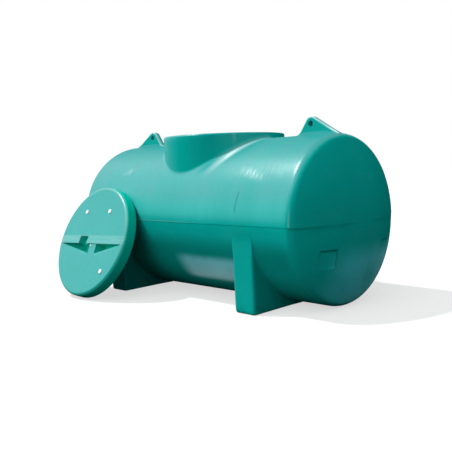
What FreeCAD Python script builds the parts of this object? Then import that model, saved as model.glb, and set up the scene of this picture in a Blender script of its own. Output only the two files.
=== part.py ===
import FreeCAD, Part
import math
import os

# Horizontal rotomoulded water tank on four moulded feet, with its lid taken off and leaning on the front.
# Millimetres. +X runs along the tank to its right end, -Y is the front, +Z is up and the ground is z = 0.

# Shell: a round barrel between two dished ends, moulded in an upper and a lower half
shell_diameter = 1000.0
barrel_length = 1885.0
shell_wall = 10.0
crown_radius = 1000.0
knuckle_radius = 58.0
parting_step = 3.0
belly_clearance = 3.0

# Neck on top of the barrel, with a ledge inside that carries the lid
neck_rim_wall = 24.0
neck_foot_wall = 14.0
neck_rise = 39.0
neck_rim_round = 7.0
neck_blend_radius = 20.0
lid_clearance = 4.0
ledge_depth = 36.0
ledge_width = 36.0
ledge_thickness = 12.0

# Lifting lugs: upright fins on the crown line
lug_setback = 181.5
lug_eye_rise = 65.0
lug_eye_radius = 42.0
lug_hole_diameter = 36.0
lug_thickness = 46.0
lug_heel = 98.0
lug_heel_fillet = 40.0
lug_tail = 222.0
lug_tail_drop = 19.0

# Feet: four blocks that cradle the lower half
foot_spread = 1232.0
foot_length = 156.0
feet_width = 984.0
feet_gap = 140.0
foot_corner_radius = 14.0

# Square recesses for outlets in the right end
outlet_width = 116.0
outlet_height = 100.0
outlet_spread = 550.0
outlet_drop = 187.0
outlet_recess = 7.0

# Lid: a thick disc with a grip bar and two finger scoops across its face
lid_diameter = 756.0
lid_thickness = 79.0
lid_front_round = 12.0
lid_back_round = 6.0
lid_lean = 23.3
lid_roll = 2.4
lid_place = -623.0
lid_rest_gap = 0.3
grip_width = 53.0
grip_height = 5.0
grip_notch_width = 88.0
grip_notch_place = -83.0
grip_notch_depth = 42.0
grip_land = 3.0
scoop_depth = 55.0
scoop_drop = 66.0
bridge_width = 80.0
bridge_place = 44.0
cap_diameter = 30.0
cap_height = 5.0
cap_spread = 272.0
upper_cap_rise = 199.0
lower_cap_place = 212.0
lower_cap_drop = 208.0
pin_diameter = 14.0
pin_place = 22.0
pin_drop = 14.0

V = FreeCAD.Vector
axis_x = V(1, 0, 0)
axis_y = V(0, 1, 0)
axis_z = V(0, 0, 1)
shell_radius = shell_diameter / 2
lower_radius = shell_radius - parting_step
axis_height = lower_radius + belly_clearance
crown_height = axis_height + shell_radius
rim_height = crown_height + neck_rise
neck_bore_radius = lid_diameter / 2 + lid_clearance
neck_rim_radius = neck_bore_radius + neck_rim_wall
reach = shell_diameter + barrel_length


def save(name, shape):
    nodes[name] = shape


def polygon(points):
    return Part.Face(Part.makePolygon(points + points[:1]))


def block(low, high):
    size = high - low
    return Part.makeBox(size.x, size.y, size.z, low)


def dished_core(inset):
    """Solid of revolution of the whole tank, set in by inset from the upper half's outer surface."""
    radius = shell_radius - inset
    knuckle = knuckle_radius - inset
    crown = crown_radius - inset
    straight = barrel_length / 2
    centre_drop = math.sqrt((crown_radius - knuckle_radius) ** 2 - (shell_radius - knuckle_radius) ** 2)
    turn = math.asin((shell_radius - knuckle_radius) / (crown_radius - knuckle_radius))
    crown_centre = straight - centre_drop

    def on_crown(angle):
        return V(crown_centre + crown * math.cos(angle), 0, crown * math.sin(angle))

    def on_knuckle(angle):
        return V(straight + knuckle * math.cos(angle), 0, radius - knuckle + knuckle * math.sin(angle))

    right = [
        Part.Arc(on_knuckle(math.pi / 2), on_knuckle((math.pi / 2 + turn) / 2), on_knuckle(turn)).toShape(),
        Part.Arc(on_crown(turn), on_crown(turn / 2), on_crown(0)).toShape(),
    ]
    left = [edge.mirror(V(), axis_x) for edge in right]
    edges = right + left
    edges.append(Part.makeLine(V(-straight, 0, radius), V(straight, 0, radius)))
    edges.append(Part.makeLine(V(-on_crown(0).x, 0, 0), on_crown(0)))
    profile = Part.Face(Part.Wire(Part.__sortEdges__(edges)))
    core = profile.revolve(V(), axis_x, 360)
    core.translate(V(0, 0, axis_height))
    return core


def half_space(side, upper):
    """Box over one side of mid-length, above or below the parting plane."""
    low = V(0 if side > 0 else -reach, -reach, axis_height if upper else axis_height - reach)
    return block(low, low + V(reach, 2 * reach, reach))


def shell_segments():
    """Upper and lower halves of the barrel, left and right, with the neck opening cut through the top."""
    opening = Part.makeCylinder(neck_bore_radius, reach, V(0, 0, axis_height), axis_z)
    straight = Part.makeCylinder(reach, barrel_length, V(-barrel_length / 2, 0, axis_height), axis_x)
    recess = outlet_block(0)
    backing = outlet_block(shell_wall)
    for half, inset in (("upper", 0.0), ("lower", parting_step)):
        outer = dished_core(inset)
        wall = outer.cut(dished_core(inset + shell_wall))
        if half == "upper":
            wall = wall.cut(opening)
        else:
            wall = wall.fuse(backing).cut(recess)
        for name, side in (("left", -1), ("right", 1)):
            quarter = wall.common(half_space(side, half == "upper"))
            save(f"{half}_shell_{name}", quarter.common(straight))
            save(f"{name}_end_{half}", quarter.cut(straight))


def outlet_block(extra):
    """Two square plugs through the right end, from the recess floor (or extra deeper) out to the surface."""
    floor = dished_core(parting_step + outlet_recess + extra)
    skin = dished_core(parting_step)
    layer = skin.cut(floor)
    plugs = []
    for side in (-1, 1):
        middle = V(barrel_length / 2, side * outlet_spread / 2, axis_height - outlet_drop)
        size = V(reach, outlet_width + 2 * extra, outlet_height + 2 * extra)
        low = middle - V(0, size.y / 2, size.z / 2)
        plugs.append(layer.common(block(low, low + size)))
    return plugs[0].fuse(plugs[1])


def neck_collar():
    """Slightly flared ring, blended into the barrel and split at mid-length."""
    rim = neck_rim_radius
    foot = neck_bore_radius + neck_foot_wall
    foot_height = axis_height
    flare = (rim - foot) / (rim_height - foot_height)
    shoulder = rim - flare * neck_rim_round
    inner_round = V(neck_bore_radius, 0, rim_height - neck_rim_round)
    corner = neck_rim_round * (1 - math.sqrt(0.5))
    edges = [
        Part.makeLine(V(neck_bore_radius, 0, foot_height), inner_round),
        Part.Arc(
            inner_round,
            V(neck_bore_radius + corner, 0, rim_height - corner),
            V(neck_bore_radius + neck_rim_round, 0, rim_height),
        ).toShape(),
        Part.makeLine(
            V(neck_bore_radius + neck_rim_round, 0, rim_height), V(rim - neck_rim_round, 0, rim_height)
        ),
        Part.Arc(
            V(rim - neck_rim_round, 0, rim_height),
            V(rim - corner, 0, rim_height - corner),
            V(shoulder, 0, rim_height - neck_rim_round),
        ).toShape(),
        Part.makeLine(V(shoulder, 0, rim_height - neck_rim_round), V(foot, 0, foot_height)),
        Part.makeLine(V(foot, 0, foot_height), V(neck_bore_radius, 0, foot_height)),
    ]
    ring = Part.Face(Part.Wire(edges)).revolve(V(), axis_z, 360)
    barrel = Part.makeCylinder(shell_radius, barrel_length, V(-barrel_length / 2, 0, axis_height), axis_x)
    joined = barrel.fuse(ring).removeSplitter()
    seam = [edge for edge in joined.Edges if on_outer_seam(edge)]
    blended = joined.makeFillet(neck_blend_radius, seam)
    bore = Part.makeCylinder(neck_bore_radius, reach, V(0, 0, axis_height), axis_z)
    collar = blended.cut(barrel).cut(bore)
    for name, side in (("left", -1), ("right", 1)):
        save(f"neck_collar_{name}", collar.common(half_space(side, True)))


def on_outer_seam(edge):
    """True for the edges where the outside of the neck meets the barrel."""
    middle = edge.valueAt((edge.FirstParameter + edge.LastParameter) / 2)
    from_barrel_axis = math.hypot(middle.y, middle.z - axis_height)
    from_neck_axis = math.hypot(middle.x, middle.y)
    touches_barrel = abs(from_barrel_axis - shell_radius) < 0.01
    return touches_barrel and neck_bore_radius + neck_foot_wall / 2 < from_neck_axis < neck_rim_radius


def lid_ledge():
    top = rim_height - ledge_depth
    ring = Part.makeCylinder(neck_bore_radius, ledge_thickness, V(0, 0, top - ledge_thickness))
    hole = Part.makeCylinder(neck_bore_radius - ledge_width, ledge_thickness, V(0, 0, top - ledge_thickness))
    save("lid_ledge", ring.cut(hole))


def lifting_lugs():
    """Fin with a rounded eye, a leaning heel that sweeps into the crown and a long slope down to the end."""
    eye = V(barrel_length / 2 - lug_setback, 0, crown_height + lug_eye_rise)
    heel = V(eye.x - lug_heel, 0, crown_height)
    tail = V(eye.x + lug_tail, 0, crown_height - lug_tail_drop)
    heel_side = tangent_point(eye, heel, 1)
    tail_side = tangent_point(eye, tail, -1)
    top = eye + V(0, 0, lug_eye_radius)
    root = axis_height + shell_radius / 2
    lean = math.atan2(heel_side.z - heel.z, heel_side.x - heel.x)
    sweep_centre = heel + V(-math.tan(lean / 2), 0, 1) * lug_heel_fillet

    def on_sweep(angle):
        return sweep_centre + V(math.sin(angle), 0, -math.cos(angle)) * lug_heel_fillet

    toe = on_sweep(0)
    edges = [
        Part.Arc(toe, on_sweep(lean / 2), on_sweep(lean)).toShape(),
        Part.makeLine(on_sweep(lean), heel_side),
        Part.Arc(heel_side, top, tail_side).toShape(),
        Part.makeLine(tail_side, tail),
        Part.makeLine(tail, V(tail.x, 0, root)),
        Part.makeLine(V(tail.x, 0, root), V(toe.x, 0, root)),
        Part.makeLine(V(toe.x, 0, root), toe),
    ]
    fin = Part.Face(Part.Wire(edges)).extrude(V(0, lug_thickness, 0))
    fin.translate(V(0, -lug_thickness / 2, 0))
    hole = Part.makeCylinder(lug_hole_diameter / 2, lug_thickness, eye - V(0, lug_thickness / 2, 0), axis_y)
    right = fin.cut(hole).cut(dished_core(0))
    save("right_lifting_lug", right)
    save("left_lifting_lug", right.mirror(V(), axis_x))


def tangent_point(centre, point, side):
    """Where a line from point touches the lug's eye, on its heel side (1) or its tail side (-1)."""
    span = point - centre
    lean = math.atan2(span.z, span.x)
    turn = -side * math.acos(lug_eye_radius / span.Length)
    angle = lean + turn
    return centre + V(math.cos(angle), 0, math.sin(angle)) * lug_eye_radius


def feet():
    barrel = Part.makeCylinder(lower_radius, reach, V(-reach / 2, 0, axis_height), axis_x)
    for x_name, x_side in (("left", -1), ("right", 1)):
        for y_name, y_side in (("front", -1), ("back", 1)):
            x_low = x_side * foot_spread / 2 - foot_length / 2
            y_far = y_side * feet_width / 2
            y_near = y_side * feet_gap / 2
            low = V(x_low, min(y_far, y_near), 0)
            high = V(x_low + foot_length, max(y_far, y_near), axis_height)
            foot = block(low, high)
            corners = [edge for edge in foot.Edges if is_upright_at(edge, y_far)]
            foot = foot.makeFillet(foot_corner_radius, corners).cut(barrel)
            save(f"{x_name}_{y_name}_foot", foot)


def is_upright_at(edge, y):
    ends = [vertex.Point for vertex in edge.Vertexes]
    return all(abs(end.y - y) < 0.01 for end in ends) and abs(ends[0].z - ends[1].z) > 1


def lid_disc_profile():
    """Half section of the disc, from its axis out to the rounded edge; y = 0 is the face, +y the back."""
    radius = lid_diameter / 2
    share = 1 - math.sqrt(0.5)
    front = lid_front_round
    back = lid_back_round
    edges = [
        Part.makeLine(V(0, 0, 0), V(radius - front, 0, 0)),
        Part.Arc(
            V(radius - front, 0, 0),
            V(radius - front * share, front * share, 0),
            V(radius, front, 0),
        ).toShape(),
        Part.makeLine(V(radius, front, 0), V(radius, lid_thickness - back, 0)),
        Part.Arc(
            V(radius, lid_thickness - back, 0),
            V(radius - back * share, lid_thickness - back * share, 0),
            V(radius - back, lid_thickness, 0),
        ).toShape(),
        Part.makeLine(V(radius - back, lid_thickness, 0), V(0, lid_thickness, 0)),
        Part.makeLine(V(0, lid_thickness, 0), V(0, 0, 0)),
    ]
    return Part.Face(Part.Wire(edges))


def scoop(end, inner):
    """Four-sided finger pocket under the grip: deepest against the grip and the bridge, level at its end."""
    crest = -grip_width / 2
    a = V(end, 0, crest)
    b = V(inner, 0, crest)
    c = V(inner, 0, crest - scoop_drop)
    deep = V(inner, scoop_depth, crest)
    faces = [polygon([a, b, c]), polygon([a, deep, b]), polygon([b, deep, c]), polygon([a, c, deep])]
    return Part.Solid(Part.Shell(faces))


def lid():
    face_radius = lid_diameter / 2 - lid_front_round
    disc = lid_disc_profile().revolve(V(), axis_y, 360)
    left_bridge = bridge_place - bridge_width / 2
    right_bridge = bridge_place + bridge_width / 2
    disc = disc.cut(scoop(-face_radius, left_bridge)).cut(scoop(face_radius, right_bridge))

    half = grip_width / 2
    section = polygon([
        V(-face_radius, 0, half),
        V(-face_radius, 0, -half),
        V(-face_radius, -grip_height, -half),
        V(-face_radius, -grip_height, -half + grip_land),
    ])
    bar = section.extrude(V(2 * face_radius, 0, 0))
    bar = bar.common(Part.makeCylinder(face_radius, lid_thickness, V(0, -lid_thickness, 0), axis_y))
    notch_low = V(grip_notch_place - grip_notch_width / 2, -grip_height, -half)
    notch = block(notch_low, notch_low + V(grip_notch_width, grip_height + grip_notch_depth, grip_width))
    bar = bar.cut(notch)
    disc = disc.cut(notch)

    places = [
        V(-cap_spread / 2, -cap_height, upper_cap_rise),
        V(cap_spread / 2, -cap_height, upper_cap_rise),
        V(lower_cap_place, -cap_height, -lower_cap_drop),
    ]
    caps = [Part.makeCylinder(cap_diameter / 2, cap_height, place, axis_y) for place in places]
    pin = V(pin_place, -cap_height, -half - pin_drop)
    caps.append(Part.makeCylinder(pin_diameter / 2, cap_height, pin, axis_y))
    pieces = {"lid_disc": disc, "lid_grip_bar": bar, "lid_caps": Part.makeCompound(caps)}
    lean_lid(pieces)
    for name, shape in pieces.items():
        save(name, shape)


def lean_lid(pieces):
    """Stand the lid on the ground with its back against the front of the barrel."""
    for shape in pieces.values():
        shape.rotate(V(), axis_y, -lid_roll)
        shape.rotate(V(), axis_x, -lid_lean)
    lean = math.radians(lid_lean)
    rise = -pieces["lid_disc"].optimalBoundingBox(False).ZMin
    up = V(0, math.sin(lean), math.cos(lean))
    back = V(0, math.cos(lean), -math.sin(lean))
    barrel_axis = V(0, 0, axis_height)
    stand_off = shell_radius + lid_rest_gap + lid_back_round
    flat_half = lid_diameter / 2 - lid_back_round
    core = V(0, 0, rise) + back * (lid_thickness - lid_back_round)
    slide = ((barrel_axis - core).dot(back) - stand_off) / back.y
    touch = (barrel_axis - core - V(0, slide, 0)).dot(up)
    if touch > flat_half:
        edge = core + up * flat_half
        slide = -math.sqrt(stand_off ** 2 - (edge.z - axis_height) ** 2) - edge.y
    for shape in pieces.values():
        shape.translate(V(lid_place, slide, rise))


nodes = {}
shell_segments()
neck_collar()
lid_ledge()
lifting_lugs()
feet()
lid()

# The origin is on the ground, in the middle of the footprint that the tank and its lid take up together
front_reach = nodes["lid_disc"].optimalBoundingBox(False).YMin
middle = V(0, -(front_reach + shell_radius) / 2, 0)
os.makedirs("parts", exist_ok=True)
for name, shape in nodes.items():
    shape.translate(middle)
    shape.exportStep(f"parts/{name}.step")
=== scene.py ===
import bmesh
import bpy
import numpy as np
from mathutils import Matrix, Vector


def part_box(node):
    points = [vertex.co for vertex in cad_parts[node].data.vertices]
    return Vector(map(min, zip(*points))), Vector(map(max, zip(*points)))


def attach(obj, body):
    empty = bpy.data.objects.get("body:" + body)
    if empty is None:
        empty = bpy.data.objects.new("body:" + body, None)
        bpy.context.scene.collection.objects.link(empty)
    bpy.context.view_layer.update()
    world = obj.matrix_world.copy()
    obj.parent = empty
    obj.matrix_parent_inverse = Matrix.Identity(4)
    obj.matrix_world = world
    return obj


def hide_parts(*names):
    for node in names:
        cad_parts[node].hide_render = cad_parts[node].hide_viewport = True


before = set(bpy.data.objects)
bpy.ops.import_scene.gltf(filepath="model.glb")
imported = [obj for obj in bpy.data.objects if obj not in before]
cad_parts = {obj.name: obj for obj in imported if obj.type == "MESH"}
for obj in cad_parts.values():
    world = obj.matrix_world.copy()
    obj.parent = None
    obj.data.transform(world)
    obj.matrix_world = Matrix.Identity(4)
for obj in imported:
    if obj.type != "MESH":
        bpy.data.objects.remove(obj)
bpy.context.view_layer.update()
print("frame loaded:", len(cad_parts), "nodes")

# sizes that several pieces share, in metres; the tank's axis runs along x
lugLow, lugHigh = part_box("right_lifting_lug")
tank = {
    "axisY": (lugLow.y + lugHigh.y) / 2,
    "axisZ": 0.5,
    "radius": 0.5,
    "half": 0.9425,        # middle of the barrel to where the ends begin to turn
    "crown": 1.0,          # radius of the dished ends
    "knuckle": 0.058,
    "wall": 0.010,
    "step": 0.003,         # the upper half stands this far proud of the lower
    "seam": 0.0012,        # but only this far at the parting line
}
lowerRadius = tank["radius"] - tank["step"]
crownZ = tank["axisZ"] + tank["radius"]
# centres of the right end's knuckle, from the axis, and of its dish, along it
knuckleR = tank["radius"] - tank["knuckle"]
dishX = tank["half"] - np.sqrt((tank["crown"] - tank["knuckle"]) ** 2 - knuckleR ** 2)
quarterTurn, fullTurn = np.pi / 2, 2 * np.pi
roundShare = 0.45          # the most of a piece's height that one rounded edge takes


def smooth(low, high, value):
    # 0 at low, 1 at high, with no corner between
    t = np.clip((value - low) / (high - low), 0, 1)
    return t * t * (3 - 2 * t)


def ramp(count):
    # even steps from 0 to 1 without the 0, as a column
    return np.linspace(0, 1, count + 1)[1:, None]


def xyz(x, y, z):
    # points from their three parts, spread to one grid
    return np.stack(np.broadcast_arrays(x, y, z), axis=-1)


def addObject(name, data):
    made = bpy.data.objects.new(name, data)
    bpy.context.scene.collection.objects.link(made)
    return made


meshing = {
    "weld": 0.00002,
    "sliver": 0.000005,
    "sharpFrom": 55,       # degrees between two faces
}


class Skin:
    # gathers grids of points with quads between neighbours, then welds them into one mesh
    def __init__(self):
        self.points, self.quads, self.total = [], [], 0

    def grid(self, points, closed=False, keep=None):
        rows, cols = points.shape[:2]
        index = self.total + np.arange(rows * cols).reshape(rows, cols)
        if closed:
            index = np.concatenate([index, index[:, :1]], axis=1)
        quads = np.stack([index[:-1, :-1], index[:-1, 1:], index[1:, 1:], index[1:, :-1]], axis=-1)
        self.quads.append(quads.reshape(-1, 4) if keep is None else quads[keep])
        self.points.append(points.reshape(-1, 3))
        self.total += rows * cols

    def piece(self, name, material, nodes):
        mesh = bpy.data.meshes.new(name)
        mesh.from_pydata(np.concatenate(self.points).tolist(), [], np.concatenate(self.quads).tolist())
        work = bmesh.new()
        work.from_mesh(mesh)
        bmesh.ops.remove_doubles(work, verts=work.verts, dist=meshing["weld"])
        bmesh.ops.dissolve_degenerate(work, edges=work.edges, dist=meshing["sliver"])
        bmesh.ops.recalc_face_normals(work, faces=work.faces)
        work.to_mesh(mesh)
        work.free()
        mesh.polygons.foreach_set("use_smooth", np.ones(len(mesh.polygons), dtype=bool))
        mesh.set_sharp_from_angle(angle=np.radians(meshing["sharpFrom"]))
        mesh.materials.append(material)
        made = addObject(name, mesh)
        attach(made, "root")
        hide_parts(*nodes)
        print(name, len(mesh.polygons), "faces")


def perimeter(values, rows, cols):
    # the entries of a grid round the rectangle between two rows and two columns, in order
    (r0, r1), (c0, c1) = rows, cols
    sides = [values[r0, c0:c1], values[r0:r1, c1], values[r1, c1:c0:-1], values[r1:r0:-1, c0]]
    return np.concatenate(sides)


def holeMask(shape, rows, cols):
    # true for each quad of a grid but those inside the rectangle
    keep = np.ones((shape[0] - 1, shape[1] - 1), dtype=bool)
    keep[rows[0]:rows[1], cols[0]:cols[1]] = False
    return keep


class Wire:
    # one socket of a material; arithmetic on it adds Math nodes
    def __init__(self, tree, socket=None):
        self.tree, self.socket = tree, socket

    def node(self, kind, settings=None, inputs=None, out=0):
        made = self.tree.nodes.new(kind)
        for key, value in (settings or {}).items():
            setattr(made, key, value)
        for key, value in (inputs or {}).items():
            if isinstance(value, Wire):
                self.tree.links.new(value.socket, made.inputs[key])
            else:
                made.inputs[key].default_value = value
        return Wire(self.tree, made.outputs[out] if len(made.outputs) else None)

    def others(self, *keys):
        # more outputs of the same node
        return [Wire(self.tree, self.socket.node.outputs[key]) for key in keys]

    def parts(self):
        # x, y and z of a vector
        return self.node("ShaderNodeSeparateXYZ", {}, {0: self}).others(0, 1, 2)

    def along(self, direction):
        # how far a vector reaches that way
        inputs = {0: self, 1: direction}
        return self.node("ShaderNodeVectorMath", {"operation": "DOT_PRODUCT"}, inputs, out="Value")

    def math(self, operation, *values):
        return self.node("ShaderNodeMath", {"operation": operation}, dict(enumerate(values)))

    def __add__(self, other):
        return self.math("ADD", self, other)

    def __radd__(self, other):
        return self.math("ADD", other, self)

    def __sub__(self, other):
        return self.math("SUBTRACT", self, other)

    def __rsub__(self, other):
        return self.math("SUBTRACT", other, self)

    def __mul__(self, other):
        return self.math("MULTIPLY", self, other)

    def __rmul__(self, other):
        return self.math("MULTIPLY", other, self)

    def __abs__(self):
        return self.math("ABSOLUTE", self)

    def larger(self, other):
        return self.math("MAXIMUM", self, other)

    def between(self, low, high):
        # 0 at low to 1 at high, smoothly; low may be the larger number
        inputs = {"Value": self, "From Min": low, "From Max": high}
        return self.node("ShaderNodeMapRange", {"interpolation_type": "SMOOTHSTEP"}, inputs)

    def within(self, limits):
        # a mask: two limits fade it in from the first to the second, three are its middle, core and edge,
        # and four fade it in over the first two and out over the last two
        if len(limits) == 2:
            return self.between(*limits)
        if len(limits) == 3:
            middle, core, edge = limits
            return abs(self - middle).between(edge, core)
        low, full, last, high = limits
        return self.between(low, full) * self.between(high, last)

    def blend(self, first, second):
        # a colour between two, by this value
        return self.node("ShaderNodeMix", {"data_type": "RGBA"}, {0: self, 6: first, 7: second}, out=2)


# scale, detail and roughness of each noise; three scales stretch it along x, y and z
grain = {
    "broad": (1.9, 2.0, 0.5),
    "cloud": (34.0, 3.0, 0.55),
    "speck": (210.0, 2.0, 0.6),
    "dimple": (11.0, 2.0, 0.5),
    "bands": ((11.0, 0.8, 0.8), 3.0, 0.5),
    "hairs": ((75.0, 3.0, 3.0), 4.0, 0.6),
    "haze": (3.2, 3.0, 0.55),
    "worn": ((84.0, 84.0, 7.2), 6.0, 0.7),
    "wornPatch": (7.0, 3.0, 0.5),
    "dirt": (22.0, 5.0, 0.65),
    "mottle": (85.0, 2.0, 0.5),
    "strokes": ((80.0, 12.0, 12.0), 4.0, 0.6),
    "glossy": (5.0, 3.0, 0.5),
    "below": (3.6, 3.0, 0.5),
    "streaks": ((4.0, 90.0, 90.0), 4.0, 0.6),
    "stain": (60.0, 4.0, 0.6),
    "nylon": (900.0, 2.0, 0.5),
}
noiseMean = 0.5


def noise(place, kind):
    scale, detail, roughness = grain[kind]
    if isinstance(scale, tuple):
        place, scale = place.node("ShaderNodeMapping", {}, {"Vector": place, "Scale": scale}), 1.0
    inputs = {"Vector": place, "Scale": scale, "Detail": detail, "Roughness": roughness}
    return place.node("ShaderNodeTexNoise", {}, inputs)


def blankNodes(owner):
    # a material or a world with its nodes cleared away
    owner.use_nodes = True
    owner.node_tree.nodes.clear()
    return Wire(owner.node_tree)


def newMaterial(name):
    # an empty material, and the place of each point on it
    made = bpy.data.materials.new(name)
    place = blankNodes(made).node("ShaderNodeTexCoord", out="Object")
    print("material", name)
    return made, place


def finishMaterial(place, constants, varying):
    # the shader: constants go on its own sockets, what varies is linked
    surface = place.node("ShaderNodeBsdfPrincipled", {}, {**constants, **varying})
    place.node("ShaderNodeOutputMaterial", {}, {"Surface": surface})


teal = {
    "deep": (0.0010, 0.345, 0.304, 1.0),
    "fresh": (0.0025, 0.425, 0.382, 1.0),
    "chalkAndSheen": (0.060, 0.352, 0.350, 1.0),    # sun-bleached bloom, and a painted sky sheen on the sunlit side
    "shadedChalk": (0.028, 0.246, 0.244, 1.0),     # and the same made darker where it faces straight up, as painted shade
    # painted shade in corners, recesses and on tops, and real dirt near the ground
    "shadeAndGrime": (0.004, 0.090, 0.074, 1.0),
    "shade": (0.001, 0.340, 0.235, 1.0),    # greener where no sun reaches
    "glow": (0.001, 0.630, 0.480, 1.0),     # and where daylight comes through the thin wall
    "flank": (0.050, 0.500, 0.470, 1.0),    # painted light: paler on the front above the parting line and on a recess's lit edge
    "skyReflection": (0.055, 0.560, 0.640, 1.0),     # painted reflection of the sky, bluer, low on the belly and the right end
    "scuff": (0.300, 0.560, 0.560, 1.0),
    # painted highlights, and some wear on the lid's bar
    "highlightAndWear": (0.520, 0.720, 0.710, 1.0),
    "gloss": 0.24,
    "peel": 0.00035,                        # depth of the moulded texture
    "index": 1.5,
}

weathering = {
    "faces": (-0.40, -0.28, 0.87),          # the way that the sunlit side faces, which is bleached and painted with a sky sheen
    "exposed": (0.24, 0.62),                # how squarely, where the bleach and painted sheen begin and where they are full
    "hairs": 0.35,                          # what fine hairs add to the bands
    "tone": (1.3, 0.20, -0.25),             # what broad and cloudy patches add to the tone, and its start
    "bloomAndSheen": (0.6, 0.15, 0.42),             # the same for the bloom and painted sheen
    "bloomAndSheenAt": (0.0, 1.05),
    "hazeAt": (0.50, 0.78),
    "haze": 0.12,                           # painted reflection haze on sides that the sun misses
    "topAt": (0.60, 1.0),                   # how far a face looks up where it is darkened, as painted shade that holds the lit top back
    "top": 0.34,
    "shadedChalkAt": (0.30, 1.0),
    "wornAt": (0.62, 0.72),
    "wornPatchAt": (0.52, 0.68),
    "mattAt": (0.70, 0.98),
    "matt": 0.8,                            # what a face that looks up loses of its sheen
    "sheen": (0.75, 0.30),                  # middle, and what cloudy patches add
    "peel": (0.35, 0.10, 1.0),              # shares of cloud, speck and dimple in the texture
    "dirtUpTo": (0.09, 0.0),
    "dirtAt": (0.42, 0.66),
    "dirt": 0.4,
    "rough": (0.16, 0.06, 0.30, 0.15),      # what cloud, bloom, dirt and wear add to the roughness
}


class Finish:
    # a weathered teal plastic: measures that say where a point lies and faces, and layers that marks add to,
    # with painted light and shade among them;
    # x and z are the frame's own, y counts from the tank's axis
    def __init__(self, name, depth, scuffed, banded, bloomAndSheenShare):
        age = weathering
        self.material, self.place = newMaterial(name)
        facing = self.place.node("ShaderNodeNewGeometry", out="Normal")
        self.x, frameY, self.z = self.place.parts()
        self.y = frameY - tank["axisY"]
        sideways, skyward = facing.parts()[1:]
        self.measures = {"x": self.x, "y": self.y, "z": self.z, "sideways": sideways, "skyward": skyward}
        exposed = facing.along(age["faces"]).between(*age["exposed"])
        self.broad, self.cloud = self.noise("broad"), self.noise("cloud")
        bands, hairs = (self.noise(kind) - noiseMean for kind in ("bands", "hairs"))
        self.bands = (bands + hairs * age["hairs"]) * banded

        deep, fresh = ([depth * part for part in teal[key][:3]] + [1.0] for key in ("deep", "fresh"))
        self.colour = self.patches(*age["tone"]).between(0.0, 1.0).blend(deep, fresh)
        # painted shade: faces that look up are darkened and their bloom is darker, so that the lit top is not
        # too bright
        self.stain(skyward.between(*age["topAt"]) * age["top"], "shadeAndGrime")
        self.chalkAndSheen = skyward.between(*age["shadedChalkAt"]).blend(teal["chalkAndSheen"], teal["shadedChalk"])
        # the bloom pales the sunlit side: sun-bleaching, and a painted sky sheen; the haze is a painted
        # reflection
        bloomAndSheen = exposed * self.patches(*age["bloomAndSheen"]).between(*age["bloomAndSheenAt"]) * bloomAndSheenShare
        self.bloomAndSheen = bloomAndSheen.larger(self.noise("haze").between(*age["hazeAt"]) * age["haze"])
        worn = self.noise("worn").between(*age["wornAt"])
        self.worn = worn * self.noise("wornPatch").between(*age["wornPatchAt"]) * scuffed
        level, clouded = age["sheen"]
        matt = skyward.between(*age["mattAt"]) * age["matt"]
        self.sheen = exposed * (1 - matt) * (level + (self.cloud - noiseMean) * clouded)
        clouds, specks, dimples = age["peel"]
        self.height = self.cloud * clouds + self.noise("speck") * specks + self.noise("dimple") * dimples
        self.highlightAndWear = 0.0

    def noise(self, kind):
        return noise(self.place, kind)

    def patches(self, broadly, clouded, start):
        return self.broad * broadly + self.bands + self.cloud * clouded + start

    def area(self, mark):
        # how much a mark shows: its amount, and its limits on each measure that it names, multiplied
        mask = mark.get("amount", 1.0)
        for measure, wire in self.measures.items():
            if measure in mark:
                mask = wire.within(mark[measure]) * mask
        return mask

    def stain(self, amount, colour):
        self.colour = amount.blend(self.colour, teal[colour])

    def addHighlightAndWear(self, amount):
        self.highlightAndWear = amount + self.highlightAndWear

    def applyBloomAndSheen(self):
        self.colour = self.bloomAndSheen.blend(self.colour, self.chalkAndSheen)

    def finished(self, blur):
        # scuffs, painted highlights with some wear, and the dirt near the ground go on last
        self.stain(self.worn, "scuff")
        if self.highlightAndWear:
            self.stain(self.highlightAndWear, "highlightAndWear")
        low = self.z.between(*weathering["dirtUpTo"])
        dirt = low * self.noise("dirt").between(*weathering["dirtAt"]) * weathering["dirt"]
        self.stain(dirt, "shadeAndGrime")
        texture = {"Height": self.height, "Distance": teal["peel"], "Strength": 1.0}
        bump = self.place.node("ShaderNodeBump", {}, texture)
        layers = (self.cloud - noiseMean, self.bloomAndSheen, dirt, self.worn)
        rough = sum((layer * share for layer, share in zip(layers, weathering["rough"])), teal["gloss"])
        index = teal["index"]
        finishMaterial(
            self.place,
            {"Specular IOR Level": 0.0, "IOR": index, "Coat Roughness": blur, "Coat IOR": index},
            {"Base Color": self.colour, "Roughness": rough, "Normal": bump, "Coat Weight": self.sheen},
        )
        return self.material


def tealPlastic(name, marks=Finish.applyBloomAndSheen, depth=1.0, scuffed=0.2, banded=0.0, bloomAndSheenShare=1.0, blur=0.30):
    # marks is the function that adds a piece's own wear and its painted light and shade, and says when the
    # bloom and painted sheen go on
    finish = Finish(name, depth, scuffed, banded, bloomAndSheenShare)
    marks(finish)
    return finish.finished(blur)
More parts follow.
